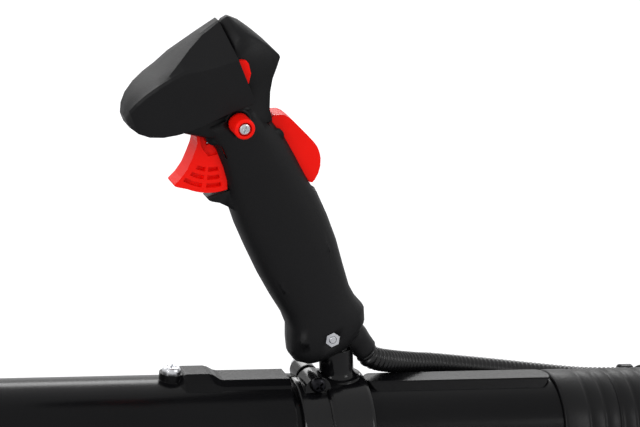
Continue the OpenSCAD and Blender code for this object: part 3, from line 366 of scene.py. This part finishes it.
def catmull(points, steps):
    """A smooth line through the points, with so many steps from each to the next."""
    p = [Vector(v) for v in points]
    out = []
    for i in range(len(p) - 1):
        a, b, c, d = p[max(i - 1, 0)], p[i], p[i + 1], p[min(i + 2, len(p) - 1)]
        for j in range(steps):
            t = j / steps
            out.append(0.5 * (2 * b + (c - a) * t + (2 * a - 5 * b + 4 * c - d) * t * t
                              + (3 * b - 3 * c + d - a) * t ** 3))
    return out + [p[-1]]


def lengths(line):
    """The length of the line up to each of its points."""
    total, out = 0.0, [0.0]
    for a, b in zip(line, line[1:]):
        total += (b - a).length
        out.append(total)
    return out


def along(line, run, s):
    """The place at the length s along a line whose lengths are run."""
    i = max(0, min(len(line) - 2, int(np.searchsorted(run, s, side="right")) - 1))
    return line[i] + (line[i + 1] - line[i]) * ((s - run[i]) / (run[i + 1] - run[i]))


def headings(line):
    return [(line[min(i + 1, len(line) - 1)] - line[max(i - 1, 0)]).normalized() for i in range(len(line))]


def hoop(p, t, r, n, off=(0, 0)):
    """A ring of n points of radius r across the heading t, off by a sideways and an upward step."""
    u = Vector((0, 0, 1)).cross(t).normalized()
    v = t.cross(u)
    return [p + (off[0] + r * math.cos(math.tau * i / n)) * u + (off[1] + r * math.sin(math.tau * i / n)) * v
            for i in range(n)]


def tube(name, line, radius, sides, offs):
    """A solid cord along a line; offs is its step off the line at each point."""
    points = []
    for p, t, off in zip(line, headings(line), offs):
        points += hoop(p, t, radius, sides, off)
    return piece(name, points, ring_faces(len(line), sides, closed_ends=True), "cable_black")


# ---------------------------------------------------------------- bellows hose

# Sides of a ring, and rings along one half of the folds, outside and inside.
HOSE_SIDES, SAMPLES_OUT, SAMPLES_IN = 160, 64, 48

# Grooves round the front cuff: each one's place behind the rim and how many times the usual depth.
GROOVES = ((15, 1), (24, 1), (33, 2), (42, 1), (51, 2), (60, 1))
GROOVE_HALF, GROOVE_DEPTH, GROOVE_FULLNESS, GROOVE_STEPS = 2.0, 0.6, 0.8, 8

# The pipe's seat in the hose: its gap round the pipe, its gap behind it, and the slope down to its bore.
SEAT_GAP, SEAT_END, SEAT_SLOPE = 0.2, 0.6, 6.0

# The front cuff's rounded rim, as [distance from the rim, depth under the cuff's radius], and a bead
# beside the hose clamp, as [distance from its middle, height over that radius].
RIM = [(0, 1.1), (0.25, 0.5), (0.8, 0.15), (2, 0)]
BEAD = [(-2.6, 0), (-1.8, 0.75), (-1.2, 1), (1.2, 1), (1.8, 0.75), (2.6, 0)]


def folds(x0, x1, outside, count):
    """The profile of the folds from x0 to x1, a rounded wave under the radius outside."""
    out = []
    for i in range(count + 1):
        x = x0 + (x1 - x0) * i / count
        wave = 0.5 - 0.5 * math.cos(math.tau * (x - FOLD_X0) / ((FOLD_X1 - FOLD_X0) / FOLDS))
        out.append((x, outside - FOLD_DEPTH + FOLD_DEPTH * wave))
    return out


def front_cuff():
    """The front cuff's outside from its rounded rim to the folds, with its grooves."""
    out = [(HOSE_X + x, CUFF_R - low) for x, low in RIM]
    for at, deep in GROOVES:
        for k in range(GROOVE_STEPS + 1):
            u = GROOVE_HALF * (2 * k / GROOVE_STEPS - 1)
            hollow = (0.5 + 0.5 * math.cos(math.pi * u / GROOVE_HALF)) ** GROOVE_FULLNESS
            out.append((HOSE_X + at + u, CUFF_R - GROOVE_DEPTH * deep * hollow))
    return out


def clamp_beads():
    """Two round beads that keep the hose clamp's band in place."""
    out = []
    for side in (-1, 1):
        middle = CLAMP_X + side * BAND_W / 2
        out += [(middle + x, CUFF_R + high) for x, high in BEAD]
    return out


def make_hose():
    seat_x = HOSE_X + HOSE_GRIP + SEAT_END
    outside, inside = FOLD_OD / 2, FOLD_OD / 2 - HOSE_WALL
    front = front_cuff() + folds(FOLD_X0, MID_X, outside, SAMPLES_OUT)
    front += folds(MID_X, FOLD_X0, inside, SAMPLES_IN)
    front += [(HOSE_X + HOSE_GRIP + SEAT_SLOPE, PIPE_BORE), (seat_x, PIPE_BORE + SEAT_END),
              (seat_x, PIPE_R + SEAT_GAP), (HOSE_X, PIPE_R + SEAT_GAP)]
    hose_front = revolved("hose_front", front, "hose_black", HOSE_SIDES)
    rear = folds(MID_X, FOLD_X1, outside, SAMPLES_OUT)
    rear += [(FOLD_X1 + 1.5, CUFF_R - 0.4), (FOLD_X1 + 3, CUFF_R)] + clamp_beads()
    rear += [(-1.2, CUFF_R), (-0.4, CUFF_R - 0.3), (0, CUFF_R - 0.8), (0, PIPE_R + REAR_GAP),
             (-REAR_BORE, PIPE_R + REAR_GAP)]
    rear += folds(FOLD_X1, MID_X, inside, SAMPLES_IN)
    hose_rear = revolved("hose_rear", rear, "hose_black", HOSE_SIDES)
    for obj in (hose_front, hose_rear):
        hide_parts("bellows_hose")
    bend_front(hose_front)
    bend_rear(hose_rear)


def bend_front(obj):
    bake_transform(obj)


def bend_rear(obj):
    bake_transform(obj)


make_hose()

# ---------------------------------------------------------------- conduit, cable, leads, boot

BOOT_AXIS = Vector((math.cos(BOOT_DROP), 0, -math.sin(BOOT_DROP)))

# Steps between a route's points: fine for the ribbed conduit, coarse for the cords in it. And the
# steps of the conduit's straight end.
FINE, COARSE = 10, 3
STRAIGHT_STEPS = 3

# The conduit's rings: sides, rings to a rib, how full a rib is, and the rings of its plain bore.
CONDUIT_SIDES, RIB_RINGS, RIB_FULLNESS, BORE_EVERY = 28, 8, 0.7, 12
PLAIN_STEP = 1.5

# Where the ribs start: past the boot's rim, and past the rear conduit's front end.
RIBS_AFTER_BOOT, RIBS_AFTER_END = 0.2, 0.3

CABLE_SIDES, LEAD_SIDES = 18, 12


def ribbed(name, line, first):
    """A tube with rounded ribs from the length first to its end, plain before them and in its bore."""
    run = lengths(line)
    plain = max(1, int(first / PLAIN_STEP))
    stations = [first * i / plain for i in range(plain)]
    radii = [CONDUIT_R - RIB_DEPTH] * plain
    ribs = int((run[-1] - first) / RIB_PITCH)
    step = (run[-1] - first) / ribs
    for i in range(ribs * RIB_RINGS + 1):
        phase = (i % RIB_RINGS) / RIB_RINGS
        wave = (0.5 - 0.5 * math.cos(math.tau * phase)) ** RIB_FULLNESS
        stations.append(first + i * step / RIB_RINGS)
        radii.append(CONDUIT_R - RIB_DEPTH + RIB_DEPTH * wave)
    middles = [along(line, run, s) for s in stations]
    ways = headings(middles)
    points = []
    for p, t, r in zip(middles, ways, radii):
        points += hoop(p, t, r, CONDUIT_SIDES)
    inner = list(range(len(stations) - 1, 0, -BORE_EVERY)) + [0]
    for i in inner:
        points += hoop(middles[i], ways[i], CONDUIT_BORE, CONDUIT_SIDES)
    faces = ring_faces(len(stations) + len(inner), CONDUIT_SIDES, loop=True)
    return piece(name, points, faces, "conduit_black")


def front_line(steps):
    """The conduit's middle line from its straight end in the boot to the hose's middle."""
    start = [on_pipe(Vector(BOOT_AT) + (CONDUIT_IN + CONDUIT_STRAIGHT * i / STRAIGHT_STEPS) * BOOT_AXIS)
             for i in range(STRAIGHT_STEPS + 1)]
    curve = catmull(start[-2:] + [on_pipe(p) for p in ROUTE_FRONT], steps)
    return start[:-1] + curve[steps:]


def rear_line(steps):
    return catmull([on_pipe(p) for p in ROUTE_REAR], steps)


def make_conduit():
    front = ribbed("conduit_tube_front", front_line(FINE), BOOT_LEN - CONDUIT_IN + RIBS_AFTER_BOOT)
    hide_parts("conduit_front")
    bend_front(front)
    rear = ribbed("conduit_tube_rear", rear_line(FINE), RIBS_AFTER_END)
    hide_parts("conduit_rear")
    bend_rear(rear)


def make_front_cords():
    """The cable and the leads from their places in the grip through the front conduit."""
    line = front_line(COARSE)
    on_grip = [grip_point(p) for p in CABLE_ROUTE][::-1]
    offs = [(0, 0)] * len(on_grip) + [CABLE_OFF] * len(line)
    cable = tube("cable_front", on_grip + line, SHEATH_R, CABLE_SIDES, offs)
    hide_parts("throttle_cable_front")
    bend_front(cable)
    on_grip = [grip_point(p) for p in LEAD_ROUTE][::-1]
    for i, off in enumerate(LEAD_OFFS):
        offs = [(0, math.copysign(LEAD_APART, off[1]))] * len(on_grip) + [off] * len(line)
        lead = tube("lead_front_%d" % (i + 1), on_grip + line, LEAD_R, LEAD_SIDES, offs)
        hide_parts("switch_leads_front")
        bend_front(lead)


def make_rear_cords():
    """The cable and the leads through the rear conduit, to a little behind its end."""
    line = [p + Vector((CORD_GAP, 0, 0)) for p in rear_line(COARSE)]
    line.append(on_pipe((CONDUIT_BACK + CORD_OUT, *CUFF_SIDE)))
    cable = tube("cable_rear", line, SHEATH_R, CABLE_SIDES, [CABLE_OFF] * len(line))
    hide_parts("throttle_cable_rear")
    bend_rear(cable)
    for i, off in enumerate(LEAD_OFFS):
        lead = tube("lead_rear_%d" % (i + 1), line, LEAD_R, LEAD_SIDES, [off] * len(line))
        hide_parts("switch_leads_rear")
        bend_rear(lead)


# The cable's end: a ferrule on the sheath, the bare wire, and the barrel nipple on it.
CABLE_END = [(0, 0), (0, 2.2), (0.25, 2.45), (4.6, 2.45), (5, 2.2), (5, 0.75), (16, 0.75), (16, 1.9),
             (16.3, 2.2), (20.1, 2.2), (20.4, 1.9), (20.4, 0)]
# A lead's end: a crimped sleeve and the pin that it holds.
LEAD_END = [(0, 0), (0, 0.85), (0.15, 0.95), (5, 0.95), (5.4, 0.7), (9, 0.7), (9, 0)]
CABLE_END_SIDES, LEAD_END_SIDES = 24, 16
# How far both start in front of the cords' ends.
END_LAP = 1.0


def make_cord_ends():
    end = on_pipe((CONDUIT_BACK + CORD_OUT - END_LAP, *CUFF_SIDE))
    nipple = turned("cable_end", end + Vector((0, *CABLE_OFF)), CABLE_END, "zinc", CABLE_END_SIDES)
    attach(nipple, "root")
    for i, off in enumerate(LEAD_OFFS):
        pin = turned("lead_end_%d" % (i + 1), end + Vector((0, *off)), LEAD_END, "zinc", LEAD_END_SIDES)
        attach(pin, "root")


# The boot: its outside and inside as [distance along it, radius], its sides, about how far apart its
# rings are, and the gap that it leaves round the post.
BOOT_OUTSIDE = [(-BOOT_BACK, 7.6), (-BOOT_BACK + 0.3, 8.1), (-BOOT_BACK + 1, 8.2), (-2, 8.2), (0, 7.95),
                (2, 7.6), (4, 7.4), (6.5, 7.2), (BOOT_LEN - 0.5, 7.1), (BOOT_LEN - 0.1, 6.8), (BOOT_LEN, 6.4)]
BOOT_INSIDE = [(BOOT_LEN, 5.6), (5.4, 5.6), (5.0, BOOT_BORE), (-BOOT_BACK, BOOT_BORE)]
BOOT_SIDES, BOOT_STEP, BOOT_GAP = 72, 0.8, 0.2


def boot_profile():
    fine = []
    for (a, ra), (b, rb) in zip(BOOT_OUTSIDE, BOOT_OUTSIDE[1:]):
        n = max(1, int((b - a) / BOOT_STEP))
        fine += [(a + (b - a) * i / n, ra + (rb - ra) * i / n) for i in range(n)]
    return fine + [BOOT_OUTSIDE[-1]] + BOOT_INSIDE


def make_boot():
    """A smooth boot that is pressed to the post where it meets it."""
    u, v = Vector((0, 1, 0)), BOOT_AXIS.cross(Vector((0, 1, 0)))
    foot = grip_point((POST_AXIS, 0, 0))
    upward = grip_point((POST_AXIS, 0, 1)) - foot
    profile = boot_profile()
    points = []
    for s, r in profile:
        for j in range(BOOT_SIDES):
            a = math.tau * j / BOOT_SIDES
            p = on_pipe(BOOT_AT) + BOOT_AXIS * s + r * math.cos(a) * u + r * math.sin(a) * v
            reach = (p - foot) - (p - foot).dot(upward) * upward
            if reach.length < POST_R + BOOT_GAP:
                p += reach.normalized() * (POST_R + BOOT_GAP - reach.length)
            points.append(p)
    boot = piece("boot", points, ring_faces(len(profile), BOOT_SIDES, loop=True), "cable_black")
    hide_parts("conduit_boot")
    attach(boot, "pipe")


make_conduit()
make_front_cords()
make_rear_cords()
make_cord_ends()
make_boot()

# ---------------------------------------------------------------- moulded shells with curved faces

# Facets that meet at less than these angles, in degrees, are one curved face.
SHELL_ANGLE, COVER_ANGLE = 38, 14
# Points closer than this, in metres, are one point.
MERGE = 0.00001


def softened(node, angle):
    """A copy of a node's solid whose low facets are one curved face; steeper edges stay crisp."""
    work = bmesh.new()
    work.from_mesh(frame["nodes"][node].data)
    bmesh.ops.remove_doubles(work, verts=work.verts, dist=MERGE)
    mesh = bpy.data.meshes.new(node + "_moulded")
    work.to_mesh(mesh)
    work.free()
    mesh.shade_smooth()
    mesh.set_sharp_from_angle(angle=math.radians(angle))
    obj = bpy.data.objects.new(node + "_moulded", mesh)
    bpy.context.scene.collection.objects.link(obj)
    mesh.materials.append(MATERIALS[slot_of[node]])
    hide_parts(node)
    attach(obj, "pipe")


softened("grip_shell_near", SHELL_ANGLE)
softened("grip_shell_far", SHELL_ANGLE)
softened("head_cover", COVER_ANGLE)

# ---------------------------------------------------------------- floor, world and lamps

# The floor, in metres: just under the part, its half width, its colour, and its glow for the camera.
FLOOR_Z = min(cad_box[0][2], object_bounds()[0][2]) - 0.0005
FLOOR_HALF, FLOOR_COLOUR, FLOOR_GLOW = 7.0, rgb(0.55, 0.55, 0.56), 0.5

# The world's strength for all but camera rays, in front of the part and behind it, and the
# directions along Y between which it changes. The camera sees it at full strength.
WORLD_FRONT, WORLD_BEHIND, FULL = 0.74, 0.95, 1.0
TURN_FROM, TURN_TO = -0.1, 0.8

# The point of the part that the lamps are aimed at, in metres.
CENTRE = Vector((-0.36, 0, 0.1))


def seen_directly(tree):
    """1 for camera rays, and 0 for all others."""
    return tree.nodes.new("ShaderNodeLightPath").outputs["Is Camera Ray"]


def make_floor():
    corners = [(-1, -1), (1, -1), (1, 1), (-1, 1)]
    mesh = bpy.data.meshes.new("floor")
    mesh.from_pydata([(x * FLOOR_HALF, y * FLOOR_HALF, FLOOR_Z) for x, y in corners], [], [(0, 1, 2, 3)])
    floor = bpy.data.objects.new("floor", mesh)
    bpy.context.scene.collection.objects.link(floor)
    material = bpy.data.materials.new("floor")
    material.use_nodes = True
    tree = material.node_tree
    tree.nodes.clear()
    out = tree.nodes.new("ShaderNodeOutputMaterial")
    add = tree.nodes.new("ShaderNodeAddShader")
    diffuse = tree.nodes.new("ShaderNodeBsdfDiffuse")
    glow = tree.nodes.new("ShaderNodeEmission")
    diffuse.inputs["Color"].default_value = FLOOR_COLOUR
    times = tree.nodes.new("ShaderNodeMath")
    times.operation = "MULTIPLY"
    times.inputs[1].default_value = FLOOR_GLOW
    tree.links.new(seen_directly(tree), times.inputs[0])
    tree.links.new(times.outputs[0], glow.inputs["Strength"])
    tree.links.new(diffuse.outputs[0], add.inputs[0])
    tree.links.new(glow.outputs[0], add.inputs[1])
    tree.links.new(add.outputs[0], out.inputs["Surface"])
    mesh.materials.append(material)


def make_world():
    world = bpy.data.worlds.new("studio")
    bpy.context.scene.world = world
    world.use_nodes = True
    tree = world.node_tree
    back = tree.nodes["Background"]
    back.inputs["Color"].default_value = rgb(1, 1, 1)
    way = tree.nodes.new("ShaderNodeSeparateXYZ")
    tree.links.new(tree.nodes.new("ShaderNodeTexCoord").outputs["Generated"], way.inputs[0])
    wall = tree.nodes.new("ShaderNodeMapRange")
    wall.interpolation_type = "SMOOTHSTEP"
    wall.inputs["From Min"].default_value = TURN_FROM
    wall.inputs["From Max"].default_value = TURN_TO
    wall.inputs["To Min"].default_value = WORLD_FRONT
    wall.inputs["To Max"].default_value = WORLD_BEHIND
    tree.links.new(way.outputs["Y"], wall.inputs["Value"])
    level = tree.nodes.new("ShaderNodeMix")
    level.inputs["B"].default_value = FULL
    tree.links.new(seen_directly(tree), level.inputs["Factor"])
    tree.links.new(wall.outputs["Result"], level.inputs["A"])
    tree.links.new(level.outputs["Result"], back.inputs["Strength"])


def lamp(name, at, size, power):
    """A rectangular lamp at a place and of a size in metres, aimed at the part."""
    data = bpy.data.lights.new(name, "AREA")
    data.shape, data.size, data.size_y, data.energy = "RECTANGLE", size[0], size[1], power
    obj = bpy.data.objects.new(name, data)
    obj.location = at
    obj.rotation_mode = "QUATERNION"
    obj.rotation_quaternion = (CENTRE - Vector(at)).to_track_quat("-Z", "Y")
    bpy.context.scene.collection.objects.link(obj)


make_floor()
make_world()
lamp("lamp_top", (-0.4, 2.0, 1.2), (2.6, 0.5), 24)
lamp("lamp_left", (-2.2, -1.0, 0.9), (0.5, 0.9), 12)
lamp("lamp_right", (1.3, -1.7, 1.5), (0.8, 1.0), 14)
bpy.context.scene.view_settings.view_transform = "Standard"
